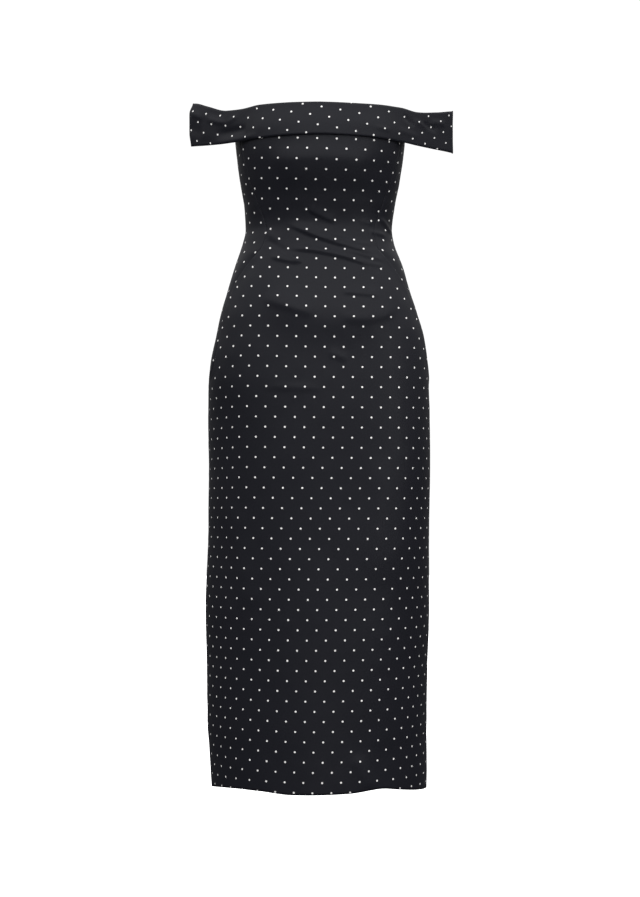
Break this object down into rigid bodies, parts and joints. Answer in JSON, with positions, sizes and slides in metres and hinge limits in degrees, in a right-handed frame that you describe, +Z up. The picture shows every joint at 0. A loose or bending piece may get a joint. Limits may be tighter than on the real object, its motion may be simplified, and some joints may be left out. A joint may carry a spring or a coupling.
{
  "type": "off-shoulder dress",
  "caption": "Fitted off-shoulder midi dress with a folded band that forms open arm loops, slanted hip pockets and a zip down the centre back.",
  "frame": {"origin": "on the body's axis at the waist, at the mount named waist, where the wearer holds the dress up", "axes": "+Z up along the body from hem to neck, -Y the way the front faces, +X to the right as seen from the front"},
  "size_m": [0.4459, 0.26, 1.1529],
  "materials": {
    "dress_cloth": "near-black satin-faced cotton with small white pin dots, soft sheen",
    "zip_tape": "black woven zip tape, matt",
    "zip_metal": "black enamelled, semi-gloss"
  },
  "bodies": {
    "dress": {"front_panel": "dress_cloth", "side_front_left": "dress_cloth", "side_front_right": "dress_cloth", "back_left": "dress_cloth", "back_right": "dress_cloth", "band_front": "dress_cloth", "band_back_left": "dress_cloth", "band_back_right": "dress_cloth", "zip_tape_left": "zip_tape", "zip_tape_right": "zip_tape", "zip_slider": "zip_metal"},
    "pull": {"zip_pull": "zip_metal"}
  },
  "joints": [
    {"name": "pull_swing", "type": "hinge", "parent": "dress", "child": "pull", "pos_m": [0, 0.09568, 0.1912], "axis": [1, 0, 0], "range_deg": [0, 150]}
  ]
}
